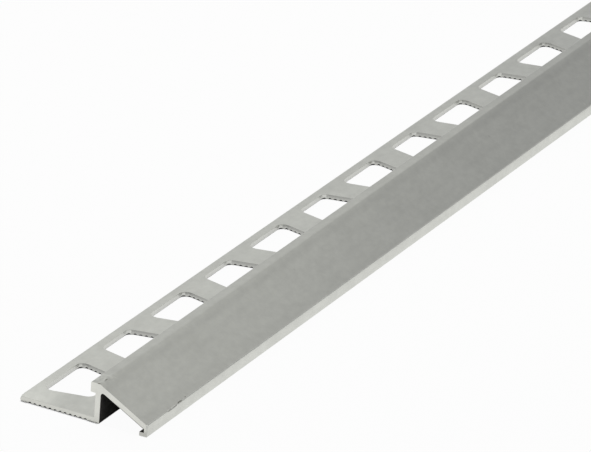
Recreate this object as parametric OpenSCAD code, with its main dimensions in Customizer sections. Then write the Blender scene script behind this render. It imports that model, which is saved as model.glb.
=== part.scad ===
// Ramp trim for the edge of a tiled floor: one extruded aluminium section with a punched anchor leg.
// Millimetres. The bar lies along X, the leg points to +Y (under the tile) and the ramp falls to -Y.

/* [Stock] */
// Length of the bar as sold
stock_len = 1000; // [300:5:3000]
// Overall height, which is the tile's thickness with its adhesive bed
trim_h = 10; // [8:0.5:15]

/* [Anchor leg] */
// Width of the leg from the web's tile side face to its free edge
leg_w = 20; // [16:0.1:30]
// Thickness of the leg, ribs included
leg_t = 1.25; // [1:0.05:2]
// Rounding of the free edge, upper side
leg_edge_r = 0.8; // [0.2:0.05:0.9]
// Rounding of the free edge, lower side
leg_foot_r = 0.25; // [0.1:0.05:0.3]
// Fillet between the leg and the web
leg_root_r = 0.15; // [0.05:0.05:0.6]

/* [Ribbed underside] */
// Distance from one rib to the next
rib_pitch = 1.34; // [1:0.02:3]
// Width of the groove between two ribs, at the floor
rib_groove_w = 0.95; // [0.5:0.05:1.1]
// Width of the groove's flat top
rib_groove_top = 0.35; // [0.1:0.05:0.5]
// Depth of the groove
rib_groove_d = 0.34; // [0.1:0.02:0.5]
// Plain strip beside the web before the first groove
rib_start = 0.9; // [0.5:0.1:4]
// Plain strip at the free edge after the last groove
rib_end = 2.4; // [0.6:0.1:4]

/* [Web and spacer nub] */
// Thickness of the upright web
web_t = 1.4; // [1:0.05:3]
// How far the nub stands out over the leg, which sets the joint beside the tile
nub_w = 1.3; // [0.8:0.05:3]
// Height of the nub
nub_h = 2.6; // [1.5:0.1:4]
// Rounding of the nub's upper edge
nub_top_r = 0.3; // [0.1:0.05:0.6]
// Rounding of the nub's lower edge
nub_low_r = 0.2; // [0.1:0.05:0.5]

/* [Ramp] */
// Flat strip on top, measured from the web's tile side face towards the ramp
crest_w = 1.05; // [0.4:0.05:3]
// Rounding between the flat strip and the ramp
crest_r = 0.8; // [0.1:0.1:1.2]
// Distance from the web's tile side face to the outer face of the nose
ramp_reach = 14; // [9:0.1:40]
// Upright thickness of the ramp beside the web
ramp_web_t = 1.68; // [1.2:0.02:3]
// Upright thickness of the ramp beside the nose
ramp_nose_t = 1.65; // [1:0.02:2.5]
// Fillet under the ramp where it meets the web
ramp_root_r = 0.6; // [0.1:0.1:1]

/* [Nose] */
// Height of the nose's outer face, up to the ramp
nose_h = 2.95; // [2.7:0.05:4]
// Thickness of the nose
nose_t = 0.9; // [0.6:0.05:2]
// Rounding between the ramp and the nose
nose_r = 0.45; // [0.1:0.05:0.8]
// Small chamfer at the foot of the nose
nose_chamfer = 0.15; // [0.1:0.05:0.5]
// How far the foot hooks inwards past the nose
hook_w = 1.2; // [0.5:0.1:3]
// Height of the hooked foot
hook_h = 1; // [0.6:0.05:1.1]

/* [Punched holes] */
// Distance between hole centres along the bar
hole_pitch = 25; // [22:0.5:40]
// Distance from the end of the bar to the first hole's centre
hole_first = 15.5; // [12:0.1:40]
// Least distance from the last hole's centre to the other end
hole_last = 15.3; // [12:0.1:40]
// Length of a hole halfway across the leg
hole_len = 15.7; // [8:0.1:17]
// Slant of each end of the hole, run along the bar over run across the leg
hole_slant = 0.24; // [0:0.01:0.25]
// Strip left between the hole and the leg's free edge
hole_band = 2.65; // [1.5:0.05:6]
// Strip left between the hole and the web
hole_web_gap = 5.65; // [1:0.05:7]
// Rounding of the holes' corners
hole_r = 1.9; // [0.5:0.1:2.5]

/* [Hidden] */
arc_steps = 4;
through = 1;
half_turn = 180;
full_turn = 360;
silver = [0.72, 0.72, 0.7];
section_mid = (leg_w - ramp_reach) / 2;
rib_n = floor((leg_w - rib_start - rib_end) / rib_pitch);
rib_from = leg_w - rib_end - rib_n * rib_pitch + (rib_pitch - rib_groove_w) / 2;
ramp_fall = (trim_h - nose_h) / (ramp_reach - crest_w);
web_ceiling = trim_h - (web_t - crest_w) * ramp_fall - ramp_web_t;
nose_ceiling = nose_h + nose_t * ramp_fall - ramp_nose_t;
hole_n = floor((stock_len - hole_first - hole_last) / hole_pitch) + 1;
hole_in = hole_web_gap;
hole_out = leg_w - hole_band;
hole_slew = hole_slant * (hole_out - hole_in) / 2;

function unit(v) = v / norm(v);

// The shorter way round from angle a to angle b
function turn(a, b) = (b - a + half_turn + full_turn) % full_turn - half_turn;

// Points that round the corner b between a and c
function arc_at(a, b, c, r) =
    let (
        to_a = unit(a - b),
        to_c = unit(c - b),
        half = acos(to_a * to_c) / 2,
        mid = b + unit(to_a + to_c) * r / sin(half),
        from = b + to_a * r / tan(half) - mid,
        to = b + to_c * r / tan(half) - mid,
        start = atan2(from[1], from[0]),
        sweep = turn(start, atan2(to[1], to[0]))
    )
    [for (i = [0 : arc_steps]) mid + r * [cos(start + sweep * i / arc_steps), sin(start + sweep * i / arc_steps)]];

// An outline from corners written as [across, up, rounding]
function outline(corners) =
    let (n = len(corners))
    [
        for (i = [0 : n - 1])
            let (
                b = [corners[i][0], corners[i][1]],
                a = [corners[(i + n - 1) % n][0], corners[(i + n - 1) % n][1]],
                c = [corners[(i + 1) % n][0], corners[(i + 1) % n][1]]
            )
            each corners[i][2] > 0 ? arc_at(a, b, c, corners[i][2]) : [b]
    ];

// The grooves of the underside, from the web to the free edge
rib_corners = [
    for (i = [0 : rib_n - 1])
        let (at = rib_from + i * rib_pitch, side = (rib_groove_w - rib_groove_top) / 2)
        each [
            [at, 0, 0],
            [at + side, rib_groove_d, 0],
            [at + side + rib_groove_top, rib_groove_d, 0],
            [at + rib_groove_w, 0, 0]
        ]
];

// The whole section, across from the web's tile side face
section_corners = concat(
    [[-web_t, 0, 0]],
    rib_corners,
    [
        [leg_w, 0, leg_foot_r],
        [leg_w, leg_t, leg_edge_r],
        [0, leg_t, leg_root_r],
        [0, trim_h - nub_h, 0],
        [nub_w, trim_h - nub_h, nub_low_r],
        [nub_w, trim_h, nub_top_r],
        [-crest_w, trim_h, crest_r],
        [-ramp_reach, nose_h, nose_r],
        [-ramp_reach, nose_chamfer, 0],
        [nose_chamfer - ramp_reach, 0, 0],
        [nose_t + hook_w - ramp_reach, 0, 0],
        [nose_t + hook_w - ramp_reach, hook_h, 0],
        [nose_t - ramp_reach, hook_h, 0],
        [nose_t - ramp_reach, nose_ceiling, 0],
        [-web_t, web_ceiling, ramp_root_r]
    ]
);

// One punched hole seen from above, wide at the free edge (lean 1) or at the web (lean -1)
function hole_corners(lean) =
    let (wide_out = hole_len / 2 + lean * hole_slew, wide_in = hole_len / 2 - lean * hole_slew)
    [
        [-wide_in, hole_in, hole_r],
        [wide_in, hole_in, hole_r],
        [wide_out, hole_out, hole_r],
        [-wide_out, hole_out, hole_r]
    ];

module bar() {
    rotate([90, 0, 90])
        linear_extrude(stock_len)
            polygon(outline(section_corners));
}

module punch(lean) {
    translate([0, 0, -through])
        linear_extrude(leg_t + 2 * through)
            polygon(outline(hole_corners(lean)));
}

module ramp_trim() {
    color(silver)
        translate([-stock_len / 2, -section_mid, 0])
            difference() {
                bar();
                for (i = [0 : hole_n - 1])
                    translate([hole_first + i * hole_pitch, 0, 0])
                        punch(i % 2 == 0 ? 1 : -1);
            }
}

ramp_trim();
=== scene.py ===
import bpy
import bmesh
import math
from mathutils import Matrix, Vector


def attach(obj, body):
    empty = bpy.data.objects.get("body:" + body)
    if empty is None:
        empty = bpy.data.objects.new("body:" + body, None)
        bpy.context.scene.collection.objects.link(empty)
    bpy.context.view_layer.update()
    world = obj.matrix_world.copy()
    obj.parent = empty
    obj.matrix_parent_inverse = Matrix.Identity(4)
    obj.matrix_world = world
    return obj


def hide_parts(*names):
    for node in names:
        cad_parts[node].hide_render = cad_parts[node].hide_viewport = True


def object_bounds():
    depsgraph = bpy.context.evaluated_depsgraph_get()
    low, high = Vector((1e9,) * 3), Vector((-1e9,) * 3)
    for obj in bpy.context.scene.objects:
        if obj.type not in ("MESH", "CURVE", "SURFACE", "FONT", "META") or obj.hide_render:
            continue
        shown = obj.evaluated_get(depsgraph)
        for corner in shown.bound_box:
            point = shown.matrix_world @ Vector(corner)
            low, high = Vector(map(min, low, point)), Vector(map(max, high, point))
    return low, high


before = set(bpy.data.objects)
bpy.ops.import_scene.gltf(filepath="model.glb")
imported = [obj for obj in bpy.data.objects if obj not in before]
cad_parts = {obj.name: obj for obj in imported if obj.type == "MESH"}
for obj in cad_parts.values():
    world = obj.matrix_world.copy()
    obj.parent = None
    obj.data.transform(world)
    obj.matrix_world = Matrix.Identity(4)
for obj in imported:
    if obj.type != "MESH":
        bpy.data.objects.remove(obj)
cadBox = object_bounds()
scene = bpy.context.scene
scene.view_settings.view_transform = "Standard"
print("frame loaded", [tuple(round(v, 4) for v in corner) for corner in cadBox])

mm = 0.001


def deselectAll():
    if bpy.context.object and bpy.context.object.mode != "OBJECT":
        bpy.ops.object.mode_set(mode="OBJECT")
    bpy.ops.object.select_all(action="DESELECT")


def pick(obj):
    deselectAll()
    obj.select_set(True)
    bpy.context.view_layer.objects.active = obj


# camera, read off the photo's vanishing lines and the end section
photoView = {
    "place": (-1.61015, -0.59463, 0.60076),
    "turn": (66.3874, -3.9711, -62.159),  # degrees
    "lens": 369.98,
    "sensor": 36.0,
    "clip": (0.01, 50),
}


def addCamera(view):
    bpy.ops.object.camera_add(location=view["place"], rotation=[math.radians(a) for a in view["turn"]])
    cam = bpy.context.object
    cam.name = "photoCamera"
    cam.data.lens = view["lens"]
    cam.data.sensor_width = view["sensor"]
    cam.data.clip_start, cam.data.clip_end = view["clip"]
    cam.data.dof.use_dof = False
    scene.camera = cam


deselectAll()
addCamera(photoView)
print("camera set")


# node helpers; tree is the node tree of the finish being made
noiseSpan = (0.3, 0.7)  # nearly all of a noise lies between these


def newMaterial(name):
    mat = bpy.data.materials.new(name)
    mat.use_nodes = True
    mat.node_tree.nodes.clear()
    return mat, mat.node_tree


def objectPlace(tree, scale=(1, 1, 1), shift=(0, 0, 0)):
    coord = tree.nodes.new("ShaderNodeTexCoord")
    place = tree.nodes.new("ShaderNodeMapping")
    place.inputs["Scale"].default_value = scale
    place.inputs["Location"].default_value = shift
    tree.links.new(coord.outputs["Object"], place.inputs["Vector"])
    return place.outputs["Vector"]


def axis(tree, name):
    split = tree.nodes.new("ShaderNodeSeparateXYZ")
    tree.links.new(objectPlace(tree), split.inputs[0])
    return split.outputs[name]


def stretchedNoise(tree, scale, detail, rough, shift):
    noise = tree.nodes.new("ShaderNodeTexNoise")
    noise.inputs["Scale"].default_value = 1.0
    noise.inputs["Detail"].default_value = detail
    noise.inputs["Roughness"].default_value = rough
    tree.links.new(objectPlace(tree, scale, shift), noise.inputs["Vector"])
    return noise.outputs["Fac"]


def mapRange(tree, value, fromLow, fromHigh, toLow, toHigh):
    node = tree.nodes.new("ShaderNodeMapRange")
    node.inputs["From Min"].default_value = fromLow
    node.inputs["From Max"].default_value = fromHigh
    node.inputs["To Min"].default_value = toLow
    node.inputs["To Max"].default_value = toHigh
    tree.links.new(value, node.inputs["Value"])
    return node.outputs["Result"]


def noiseTone(tree, noise, tones):
    return mapRange(tree, noise, *noiseSpan, *tones)


def maths(tree, operation, a, b=0.0):
    node = tree.nodes.new("ShaderNodeMath")
    node.operation = operation
    for socket, value in zip(node.inputs, (a, b)):
        if isinstance(value, (int, float)):
            socket.default_value = value
        else:
            tree.links.new(value, socket)
    return node.outputs[0]


def product(tree, first, *others):
    for other in others:
        first = maths(tree, "MULTIPLY", first, other)
    return first


def onePlus(tree, *parts):
    # a tone that stays 1 where any of the parts is 0
    return maths(tree, "ADD", product(tree, *parts), 1.0)


def without(tree, mask):
    return maths(tree, "SUBTRACT", 1.0, mask)


def tinted(tree, value, colour):
    # value times a fixed colour
    node = tree.nodes.new("ShaderNodeVectorMath")
    node.operation = "SCALE"
    node.inputs[0].default_value = colour
    tree.links.new(value, node.inputs["Scale"])
    return node.outputs["Vector"]


def metalShader(tree, look, tone, relief, wear):
    # relief is the noise that stands out as bump, wear the one that changes the gloss
    out = tree.nodes.new("ShaderNodeOutputMaterial")
    shader = tree.nodes.new("ShaderNodeBsdfPrincipled")
    shader.inputs["Metallic"].default_value = 1.0
    tree.links.new(tinted(tree, tone, look["colour"]), shader.inputs["Base Color"])
    tree.links.new(noiseTone(tree, wear, look["roughness"]), shader.inputs["Roughness"])
    bump = tree.nodes.new("ShaderNodeBump")
    bump.inputs["Distance"].default_value = look["bumpDepth"]
    bump.inputs["Strength"].default_value = look["bumpStrength"]
    tree.links.new(relief, bump.inputs["Height"])
    tree.links.new(bump.outputs["Normal"], shader.inputs["Normal"])
    tree.links.new(shader.outputs[0], out.inputs["Surface"])


# the ramp is darker along a line over the web, on the crest and a little on its way up
rampDarkening = {
    "webLine": -5.65 * mm,
    "webLineHalf": (0.22 * mm, 1.1 * mm),  # full inside the first, gone at the second
    "webLineTone": 0.95,
    "crestRise": (9.93 * mm, 9.99 * mm),
    "crestTone": 0.88,
    "rampFoot": 3 * mm,
    "rampTopTone": 0.955,
}


def darkenedRamp(tree, look):
    y, z = axis(tree, "Y"), axis(tree, "Z")
    away = maths(tree, "ABSOLUTE", maths(tree, "SUBTRACT", y, look["webLine"]))
    line = mapRange(tree, away, *look["webLineHalf"], look["webLineTone"], 1.0)
    crest = mapRange(tree, z, *look["crestRise"], 1.0, look["crestTone"])
    climb = mapRange(tree, z, look["rampFoot"], look["crestRise"][0], 1.0, look["rampTopTone"])
    return product(tree, line, crest, climb)


# painted highlight: the crease over the nose is painted lighter, evening out a dark shading line along
# it
creaseHighlight = {
    "fade": (3.15 * mm, 3.03 * mm),  # heights where it starts and where it is full
    "foot": 2.8 * mm,
    "inside": -12 * mm,  # nothing further in than this
    "tone": 1.28,
}


def paintedCreaseHighlight(tree, look):
    y, z = axis(tree, "Y"), axis(tree, "Z")
    highlight = mapRange(tree, z, *look["fade"], 0.0, look["tone"] - 1)
    aboveFoot = maths(tree, "GREATER_THAN", z, look["foot"])
    onNose = maths(tree, "LESS_THAN", y, look["inside"])
    return onePlus(tree, highlight, aboveFoot, onNose)


# beside the sawn ends the upper side is scuffed, and dented on top
endWear = {
    "scuffRagged": 5 * mm,
    "scuffFade": (3.5 * mm, 7 * mm),
    "scuffRise": (6 * mm, 9.99 * mm),
    "scuffTone": 0.985,
    "scuffNoise": ((500, 700, 700), 4, 0.6, (5, 1, 4)),
    "dentFade": (5 * mm, 8 * mm),
    "dentRise": (9.2 * mm, 9.93 * mm),
    "dentTones": (-0.07, 0.15),
    "dentSpan": (0.35, 0.65),
    "dentNoise": ((900, 1200, 1200), 2, 0.5, (2, 6, 1)),
}


def fromEnd(tree):
    return maths(tree, "SUBTRACT", cadBox[1][0], maths(tree, "ABSOLUTE", axis(tree, "X")))


def wornEnds(tree, look):
    z = axis(tree, "Z")
    patches = stretchedNoise(tree, *look["scuffNoise"])
    ragged = maths(tree, "ADD", fromEnd(tree), product(tree, patches, look["scuffRagged"]))
    scuff = onePlus(tree, mapRange(tree, ragged, *look["scuffFade"], look["scuffTone"] - 1, 0.0),
                    mapRange(tree, z, *look["scuffRise"], 0.0, 1.0))
    lumps = stretchedNoise(tree, *look["dentNoise"])
    dents = onePlus(tree, mapRange(tree, lumps, *look["dentSpan"], *look["dentTones"]),
                    mapRange(tree, z, *look["dentRise"], 0.0, 1.0),
                    mapRange(tree, fromEnd(tree), *look["dentFade"], 1.0, 0.0))
    return product(tree, scuff, dents)


# painted light and shade at the leg's ends: paler at the free edge than at the web, standing in for a
# soft reflection near the corner
legEndHighlight = {
    "reach": 24 * mm,
    "top": (1.3 * mm, 2 * mm),  # gone above the leg
    "across": (5.5 * mm, 12.5 * mm),
    "rootTone": 0.94,
    "edgeTone": 1.22,
}


def paintedLegEndHighlight(tree, look):
    close = mapRange(tree, fromEnd(tree), 0.0, look["reach"], 1.0, 0.0)
    onLeg = mapRange(tree, axis(tree, "Z"), *look["top"], 1.0, 0.0)
    across = mapRange(tree, axis(tree, "Y"), *look["across"], look["rootTone"] - 1, look["edgeTone"] - 1)
    return onePlus(tree, close, onLeg, across)


# a few pale and dark spots, one to a cell
specks = {
    "cell": 22 * mm,
    "fade": (0.18 * mm, 0.45 * mm),  # from the spot's middle
    "tones": (-0.12, 0.12),
}


def specked(tree, look):
    cells = tree.nodes.new("ShaderNodeTexVoronoi")
    cells.voronoi_dimensions = "2D"
    cells.inputs["Scale"].default_value = 1 / look["cell"]
    tree.links.new(objectPlace(tree), cells.inputs["Vector"])
    core, rim = [distance / look["cell"] for distance in look["fade"]]
    spot = mapRange(tree, cells.outputs["Distance"], core, rim, 1.0, 0.0)
    split = tree.nodes.new("ShaderNodeSeparateColor")
    tree.links.new(cells.outputs["Color"], split.inputs[0])
    return onePlus(tree, spot, mapRange(tree, split.outputs["Red"], 0.0, 1.0, *look["tones"]))


# mill finish, with the die's lines along the bar; a noise is its scale, detail, roughness and shift
millFinish = {
    "colour": (0.663, 0.67, 0.627),
    "roughness": (0.35, 0.45),
    "bumpDepth": 0.02 * mm,
    "bumpStrength": 0.25,
    "lineNoise": ((3, 1500, 1500), 5, 0.62, (0, 0, 0)),
    "lineTones": (0.98, 1.02),
    "bandNoise": ((1.2, 260, 260), 3, 0.5, (4, 2, 7)),
    "bandTones": (0.975, 1.025),
    "cloudNoise": ((70, 110, 110), 4, 0.55, (1, 5, 3)),
    "cloudTones": (0.965, 1.03),
    "mottleNoise": ((420, 560, 560), 3, 0.6, (3, 8, 2)),
    "mottleTones": (0.955, 1.045),
}


def makeMillFinish(look):
    mat, tree = newMaterial("millAluminium")
    lines = stretchedNoise(tree, *look["lineNoise"])
    bands = stretchedNoise(tree, *look["bandNoise"])
    clouds = stretchedNoise(tree, *look["cloudNoise"])
    mottle = stretchedNoise(tree, *look["mottleNoise"])
    # the tone carries painted highlights on the nose's crease and at the leg's ends
    tone = product(tree, noiseTone(tree, lines, look["lineTones"]),
                   noiseTone(tree, bands, look["bandTones"]),
                   noiseTone(tree, clouds, look["cloudTones"]),
                   noiseTone(tree, mottle, look["mottleTones"]),
                   darkenedRamp(tree, rampDarkening), paintedCreaseHighlight(tree, creaseHighlight),
                   wornEnds(tree, endWear), paintedLegEndHighlight(tree, legEndHighlight), specked(tree, specks))
    metalShader(tree, look, tone, lines, lines)
    return mat


# the hollow under the ramp, across and up
hollow = {
    "web": -4.4 * mm,
    "nose": -16.1 * mm,
    "ceilingWeb": 8.1 * mm,
    "ceilingNose": 1.79 * mm,
}
hollowRise = (hollow["ceilingWeb"] - hollow["ceilingNose"]) / (hollow["web"] - hollow["nose"])

# bright saw cut at both ends
sawCut = {
    "colour": (0.744, 0.746, 0.695),
    "roughness": (0.36, 0.48),
    "bumpDepth": 0.02 * mm,
    "bumpStrength": 0.3,
    "markNoise": ((200, 300, 3200), 4, 0.6, (0, 0, 0)),
    "cloudNoise": ((300, 300, 300), 3, 0.5, (0, 0, 0)),
    "noiseTones": (0.96, 1.03),
    "footRise": (1.2 * mm, 3 * mm),  # painted shade, darker near the floor
    "footTone": 0.91,
    "noseSide": (-15 * mm, -11 * mm),  # darker out at the nose too
    "noseTone": 0.96,
    "hookRise": (1 * mm, 1.6 * mm),  # painted shade, darkest of all on the hooked foot
    "hookTone": 0.81,
    "edgeShadeHalf": (0.1 * mm, 0.3 * mm),  # painted shade line along the ramp's lower edge, standing in for a burr's shadow
    "edgeShadeFade": (-10 * mm, -7 * mm),
    "edgeShadeTone": 0.3,
}


# painted shade: a dark line along the lower edge of the ramp's cut
def rampEdgeShade(tree, look):
    y, z = axis(tree, "Y"), axis(tree, "Z")
    fromNose = maths(tree, "SUBTRACT", y, hollow["nose"])
    edge = maths(tree, "ADD", product(tree, fromNose, hollowRise), hollow["ceilingNose"])
    away = maths(tree, "ABSOLUTE", maths(tree, "SUBTRACT", z, edge))
    line = mapRange(tree, away, *look["edgeShadeHalf"], look["edgeShadeTone"] - 1, 0.0)
    fades = mapRange(tree, y, *look["edgeShadeFade"], 1.0, 0.0)
    onRamp = maths(tree, "GREATER_THAN", y, hollow["nose"])
    return onePlus(tree, line, fades, onRamp)


def makeSawCut(look):
    mat, tree = newMaterial("sawnAluminium")
    marks = stretchedNoise(tree, *look["markNoise"])
    clouds = stretchedNoise(tree, *look["cloudNoise"])
    y, z = axis(tree, "Y"), axis(tree, "Z")
    onNose = mapRange(tree, y, *look["noseSide"], 1.0, 0.0)
    onHook = mapRange(tree, z, *look["hookRise"], look["hookTone"] - 1, 0.0)
    tone = product(tree, noiseTone(tree, marks, look["noiseTones"]),
                   noiseTone(tree, clouds, look["noiseTones"]),
                   mapRange(tree, z, *look["footRise"], look["footTone"], 1.0),
                   mapRange(tree, y, *look["noseSide"], look["noseTone"], 1.0),
                   onePlus(tree, onNose, onHook), rampEdgeShade(tree, look))
    metalShader(tree, look, tone, marks, marks)
    return mat


# punched walls, dragged by the punch at the top and torn below
punchedWall = {
    "bumpDepth": 0.03 * mm,
    "bumpStrength": 0.5,
    "dragNoise": ((2600, 2600, 260), 4, 0.6, (0, 0, 0)),
    "dragTones": (0.88, 1.08),
    "tornRise": (0.75 * mm, 1.05 * mm),
    "tornRagged": 0.4 * mm,
}
punchedSide = {
    "colour": (0.67, 0.675, 0.64),
    "roughness": (0.34, 0.5),
    "tornAndLitTone": 0.95,
}
# end walls, facing along the bar: their darker colour is painted shade, and their lighter torn zone a
# painted light
punchedEndShaded = {
    "colour": (0.45, 0.453, 0.43),
    "roughness": (0.4, 0.56),
    "tornAndLitTone": 1.2,
}


def makePunchedWall(name, look):
    mat, tree = newMaterial(name)
    drag = stretchedNoise(tree, *look["dragNoise"])
    level = maths(tree, "ADD", axis(tree, "Z"), product(tree, drag, look["tornRagged"]))
    # the torn zone's tone: a little darker on the side walls, a painted light on the end walls
    tornAndLit = mapRange(tree, level, *look["tornRise"], look["tornAndLitTone"], 1.0)
    tone = product(tree, tornAndLit, noiseTone(tree, drag, look["dragTones"]))
    metalShader(tree, look, tone, drag, drag)
    return mat


# inside of the ramp: rougher, and darker than the mill finish, the darkness a painted shade for the
# closed hollow
hollowShade = {
    "colour": (0.42, 0.42, 0.395),
    "roughness": (0.44, 0.56),
    "bumpDepth": 0.02 * mm,
    "bumpStrength": 0.3,
    "lineNoise": ((4, 1300, 1300), 5, 0.6, (2, 1, 9)),
    "lineTones": (0.94, 1.05),
    "cloudNoise": ((40, 160, 160), 4, 0.55, (7, 3, 1)),
    "cloudTones": (0.92, 1.06),
}


def makeHollowShade(look):
    mat, tree = newMaterial("shadedHollowAluminium")
    lines = stretchedNoise(tree, *look["lineNoise"])
    clouds = stretchedNoise(tree, *look["cloudNoise"])
    tone = product(tree, noiseTone(tree, lines, look["lineTones"]),
                   noiseTone(tree, clouds, look["cloudTones"]))
    metalShader(tree, look, tone, lines, clouds)
    return mat


# gritty and a little dirty in the nicks
nickGrime = {
    "colour": (0.52, 0.515, 0.47),
    "roughness": (0.5, 0.7),
    "bumpDepth": 0.03 * mm,
    "bumpStrength": 0.6,
    "gritNoise": ((3000, 3000, 3000), 4, 0.6, (0, 0, 0)),
    "gritTones": (0.6, 1.2),
}


def makeNickGrime(look):
    mat, tree = newMaterial("nickGrime")
    grit = stretchedNoise(tree, *look["gritNoise"])
    metalShader(tree, look, noiseTone(tree, grit, look["gritTones"]), grit, grit)
    return mat


# the bar itself: the CAD section with its edges broken and its knocks
bar = {
    "node": "ramp_trim",
    "merge": 0.001 * mm,
    "flat": 0.5,  # degrees
    "edgeBreak": 0.06 * mm,
    "edgeSteps": 2,
    "sharp": 24,  # degrees
    "smooth": 30,
    # worn near corners of the leg and the nose: mm along, in and up, then degrees round and over
    "cornerCuts": ((5.0, 0.0, 1.1, 5, 0), (0.9, 0.36, 1.1, 24, 28), (0.15, 0.69, 1.1, 60, 28),
                   (0.5, 0.35, 0.0, 50, -40), (0.0, 33.5, 2.95, 135, 8)),
}

# knocks near the end: place (from the end, across, up) and half sizes, in mm
knocks = {
    "dirty": [
        ((15.6, -16.82, 3.14), (1.2, 0.24, 0.24)),
        ((18.5, -16.65, 3.24), (0.45, 0.16, 0.15)),
        ((2.9, -4.1, 10.06), (0.75, 0.22, 0.2)),
        ((0.0, -3.8, 10.02), (0.3, 0.5, 0.16)),
    ],
    "bare": [
        ((12.6, -17.24, 3.2), (2.0, 0.6, 0.6)),
        ((10.4, -17.27, 3.2), (1.6, 0.6, 0.6)),
    ],
    "jitter": 0.05,
    "subdivisions": 3,
}

# which faces take which finish, told by where they lie and face
finishes = ["mill", "saw", "side", "end", "inner", "grimeAndShade"]
faceRules = {
    "cutFacing": 0.9,
    "cutDepth": 0.02 * mm,
    "legTop": 1.25 * mm,
    "holeSpan": (2.6 * mm, 14.4 * mm),
    "wallTilt": 0.3,
    "endFacing": 0.8,
    "innerProbe": 0.2 * mm,
    "innerFacing": 0.5,
}


def knock(piece, place, half, mat, seed):
    low = cadBox[0]
    deselectAll()
    bpy.ops.mesh.primitive_ico_sphere_add(subdivisions=knocks["subdivisions"], radius=1)
    lump = bpy.context.object
    lump.data.materials.append(mat)
    bpy.ops.object.mode_set(mode="EDIT")
    bpy.ops.transform.vertex_random(offset=knocks["jitter"], seed=seed)
    bpy.ops.transform.resize(value=[h * mm for h in half], center_override=(0, 0, 0))
    bpy.ops.transform.translate(value=(low[0] + place[0] * mm, place[1] * mm, place[2] * mm))
    pick(piece)
    cut = piece.modifiers.new("knock", "BOOLEAN")
    cut.operation = "DIFFERENCE"
    cut.solver = "EXACT"
    cut.material_mode = "TRANSFER"
    cut.object = lump
    bpy.ops.object.modifier_apply(modifier=cut.name)
    bpy.data.objects.remove(lump)


def knockBar(piece):
    for kind, finish in (("bare", "saw"), ("dirty", "grimeAndShade")):  # bare metal is as bright as the saw cut
        for i, (place, half) in enumerate(knocks[kind]):
            knock(piece, place, half, piece.data.materials[finishes.index(finish)], i + 1)


def wearCorners(cuts):
    low, high = cadBox
    for along, inward, up, angle, over in cuts:
        turn, lean = math.radians(angle), math.radians(over)
        normal = (-math.sin(turn) * math.cos(lean), math.cos(turn) * math.cos(lean), math.sin(lean))
        bpy.ops.mesh.select_all(action="SELECT")
        bpy.ops.mesh.bisect(plane_co=(low[0] + along * mm, high[1] - inward * mm, up * mm),
                            plane_no=normal, use_fill=True, clear_outer=True)


def breakEdges(piece, shape):
    bpy.ops.mesh.select_all(action="DESELECT")
    bpy.ops.mesh.select_mode(type="EDGE")
    bpy.ops.mesh.edges_select_sharp(sharpness=math.radians(shape["sharp"]))
    mesh = bmesh.from_edit_mesh(piece.data)
    for edge in mesh.edges:  # knocks stay ragged
        if edge.select and any(face.material_index for face in edge.link_faces):
            edge.select = False
    bpy.ops.mesh.bevel(offset=shape["edgeBreak"], offset_type="OFFSET", segments=shape["edgeSteps"],
                       affect="EDGES", clamp_overlap=False)


def finishFor(face, rules):
    low, high = cadBox
    normal, middle = face.normal, face.center
    if face.material_index:
        return finishes[face.material_index]
    toEnd = min(middle.x - low[0], high[0] - middle.x)
    if abs(normal.x) > rules["cutFacing"] and toEnd < rules["cutDepth"]:
        return "saw"
    holeFrom, holeTo = rules["holeSpan"]
    inHole = holeFrom < middle.y < holeTo and middle.z < rules["legTop"]
    if inHole and abs(normal.z) < rules["wallTilt"]:
        return "end" if abs(normal.x) > rules["endFacing"] else "side"
    probe = middle + normal * rules["innerProbe"]
    ceiling = hollow["ceilingNose"] + (probe.y - hollow["nose"]) * hollowRise
    inHollow = hollow["nose"] < probe.y < hollow["web"] and 0 < probe.z < ceiling
    if inHollow and abs(normal.x) < rules["innerFacing"]:
        return "inner"
    return "mill"


def makeBar(shape):
    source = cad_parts[shape["node"]]
    piece = bpy.data.objects.new("trimBar", source.data.copy())
    scene.collection.objects.link(piece)
    pick(piece)
    piece.data.materials.clear()
    for mat in (makeMillFinish(millFinish), makeSawCut(sawCut),
                makePunchedWall("punchedSide", {**punchedWall, **punchedSide}),
                makePunchedWall("punchedEndShaded", {**punchedWall, **punchedEndShaded}),
                makeHollowShade(hollowShade), makeNickGrime(nickGrime)):
        piece.data.materials.append(mat)
    bpy.ops.object.mode_set(mode="EDIT")
    bpy.ops.mesh.select_all(action="SELECT")
    bpy.ops.mesh.remove_doubles(threshold=shape["merge"])
    bpy.ops.mesh.dissolve_limited(angle_limit=math.radians(shape["flat"]))
    wearCorners(shape["cornerCuts"])
    bpy.ops.object.mode_set(mode="OBJECT")
    knockBar(piece)
    bpy.ops.object.mode_set(mode="EDIT")
    breakEdges(piece, shape)
    bpy.ops.object.mode_set(mode="OBJECT")
    bpy.ops.object.shade_smooth_by_angle(angle=math.radians(shape["smooth"]))
    for face in piece.data.polygons:
        face.material_index = finishes.index(finishFor(face, faceRules))
    weigh = piece.modifiers.new("flatFaces", "WEIGHTED_NORMAL")
    weigh.keep_sharp = True
    bpy.ops.object.modifier_apply(modifier=weigh.name)
    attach(piece, "root")
    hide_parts(shape["node"])
    piece.data.calc_loop_triangles()
    print("bar", len(piece.data.vertices), "points", len(piece.data.loop_triangles), "triangles")


makeBar(bar)


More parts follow.
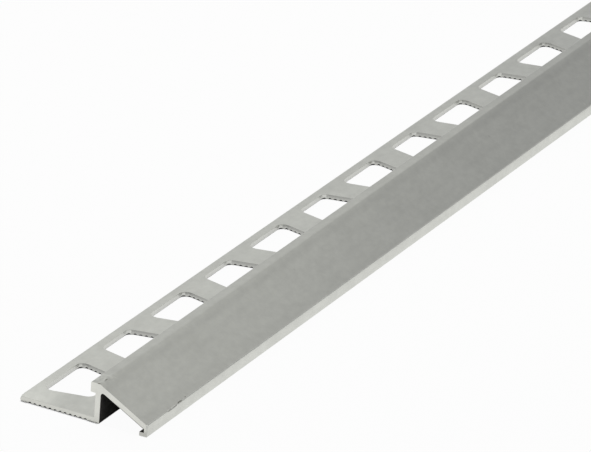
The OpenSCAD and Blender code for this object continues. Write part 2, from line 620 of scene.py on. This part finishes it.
# floor, white to the camera and to the metal, dark only where the bar touches it; there and inside the
# hollow its colour is darkened too, a painted shade
floorLook = {
    "size": 6.0,
    "drop": 0.02 * mm,
    "colour": (0.9, 0.9, 0.9),
    "white": 0.96,  # share of plain white against shaded floor
    "samples": 8,
    "contact": 1.1 * mm,  # dark in the leg's grooves, up to their mouths
    "contactOpen": (0.3, 0.5),
    "footReach": 0.8 * mm,  # a narrow line along the sawn foot
    "footLean": (0.9, 0.0, 0.436),  # which looks back at the sawn end
    "footOpen": (0.42, 0.62),
    # painted contact shade: the floor's colour where the bar is close
    "grimeAndShade": 0.05,
    "channel": 0.15,  # painted shade: the floor's colour inside the hollow
}


def openness(tree, samples, reach, lean):
    near = tree.nodes.new("ShaderNodeAmbientOcclusion")
    near.samples = samples
    near.inputs["Distance"].default_value = reach
    way = tree.nodes.new("ShaderNodeCombineXYZ")
    for socket, value in zip(way.inputs, lean):
        socket.default_value = value
    tree.links.new(way.outputs[0], near.inputs["Normal"])
    return near.outputs["AO"]


def floorZones(tree):
    # past the bar's ends, on the leg's side of the web, and anywhere but inside the hollow
    x, y = axis(tree, "X"), axis(tree, "Y")
    pastEnds = maths(tree, "GREATER_THAN", maths(tree, "ABSOLUTE", x), cadBox[1][0])
    legSide = maths(tree, "GREATER_THAN", y, hollow["web"])
    pastNose = maths(tree, "LESS_THAN", y, hollow["nose"])
    outside = maths(tree, "MAXIMUM", pastEnds, maths(tree, "MAXIMUM", pastNose, legSide))
    return pastEnds, legSide, outside


def clearOfBar(tree, look, pastEnds, legSide):
    # 1 in the open, 0 in the leg's grooves and along its sawn foot
    foot = openness(tree, look["samples"], look["footReach"], look["footLean"])
    foot = mapRange(tree, foot, *look["footOpen"], 0.0, 1.0)
    foot = maths(tree, "MAXIMUM", foot, without(tree, product(tree, pastEnds, legSide)))
    under = openness(tree, look["samples"], look["contact"], (0, 0, 1))
    under = mapRange(tree, under, *look["contactOpen"], 0.0, 1.0)
    under = maths(tree, "MAXIMUM", under, without(tree, legSide))
    return product(tree, under, foot)


def makeFloor(look):
    deselectAll()
    bpy.ops.mesh.primitive_plane_add(size=look["size"], location=(0, 0, -look["drop"]))
    floor = bpy.context.object
    floor.name = "studioFloor"
    mat, tree = newMaterial("paleFloor")
    out = tree.nodes.new("ShaderNodeOutputMaterial")
    diffuse = tree.nodes.new("ShaderNodeBsdfDiffuse")
    glow = tree.nodes.new("ShaderNodeEmission")
    glow.inputs["Strength"].default_value = 1.0
    path = tree.nodes.new("ShaderNodeLightPath").outputs
    pastEnds, legSide, outside = floorZones(tree)
    clear = clearOfBar(tree, look, pastEnds, legSide)
    # painted shade in the floor's colour, along the bar and inside the hollow
    shaded = product(tree, mapRange(tree, clear, 0.0, 1.0, look["grimeAndShade"], 1.0),
                     mapRange(tree, outside, 0.0, 1.0, look["channel"], 1.0))
    tree.links.new(tinted(tree, shaded, look["colour"]), diffuse.inputs["Color"])
    mirrored = maths(tree, "MAXIMUM", path["Is Glossy Ray"], path["Is Transmission Ray"])
    seen = maths(tree, "MAXIMUM", path["Is Camera Ray"], product(tree, mirrored, outside))
    mix = tree.nodes.new("ShaderNodeMixShader")
    tree.links.new(product(tree, seen, clear, look["white"]), mix.inputs["Fac"])
    tree.links.new(diffuse.outputs[0], mix.inputs[1])
    tree.links.new(glow.outputs[0], mix.inputs[2])
    tree.links.new(mix.outputs[0], out.inputs["Surface"])
    floor.data.materials.append(mat)


makeFloor(floorLook)
print("floor laid")


# soft sky, brighter on the tile side, and one soft panel that the near end mirrors
studioSky = {
    "colour": (0.98, 0.985, 1.0),
    "towards": (0.314, 0.943, 0.105),
    "low": 0.385,
    "base": 0.367,
    "gain": 0.338,
    "high": 0.9,
    "horizon": 0.9,
    "horizonTop": 0.24,
}
softPanel = {
    "place": (-0.335, 0.06, 0.17),
    "aim": (-0.375, 0.0, 0.0),
    "size": (0.39, 0.3),
    "colour": (1.0, 0.995, 0.94),
    "level": 0.275,
}


def makeSky(sky):
    world = bpy.data.worlds.new("studioSky")
    scene.world = world
    world.use_nodes = True
    tree = world.node_tree
    tree.nodes.clear()
    out = tree.nodes.new("ShaderNodeOutputWorld")
    back = tree.nodes.new("ShaderNodeBackground")
    back.inputs["Color"].default_value = (*sky["colour"], 1)
    coord = tree.nodes.new("ShaderNodeTexCoord")
    dot = tree.nodes.new("ShaderNodeVectorMath")
    dot.operation = "DOT_PRODUCT"
    dot.inputs[1].default_value = sky["towards"]
    tree.links.new(coord.outputs["Generated"], dot.inputs[0])
    level = maths(tree, "MULTIPLY", dot.outputs["Value"], sky["gain"])
    level = maths(tree, "ADD", level, sky["base"])
    level = maths(tree, "MAXIMUM", level, sky["low"])
    level = maths(tree, "MINIMUM", level, sky["high"])
    split = tree.nodes.new("ShaderNodeSeparateXYZ")
    tree.links.new(coord.outputs["Generated"], split.inputs[0])
    glow = mapRange(tree, split.outputs["Z"], 0.0, sky["horizonTop"], sky["horizon"], 0.0)
    tree.links.new(maths(tree, "MAXIMUM", level, glow), back.inputs["Strength"])
    tree.links.new(back.outputs[0], out.inputs["Surface"])


def addPanel(panel):
    deselectAll()
    bpy.ops.object.light_add(type="AREA", location=panel["place"])
    lamp = bpy.context.object
    lamp.name = "softPanel"
    aim = Vector(panel["aim"]) - Vector(panel["place"])
    lamp.rotation_euler = aim.to_track_quat("-Z", "Y").to_euler()
    lamp.data.shape = "RECTANGLE"
    lamp.data.size, lamp.data.size_y = panel["size"]
    lamp.data.color = panel["colour"]
    lamp.data.energy = panel["level"] * math.pi * panel["size"][0] * panel["size"][1]
    lamp.visible_camera = False


makeSky(studioSky)
addPanel(softPanel)
print("light set")
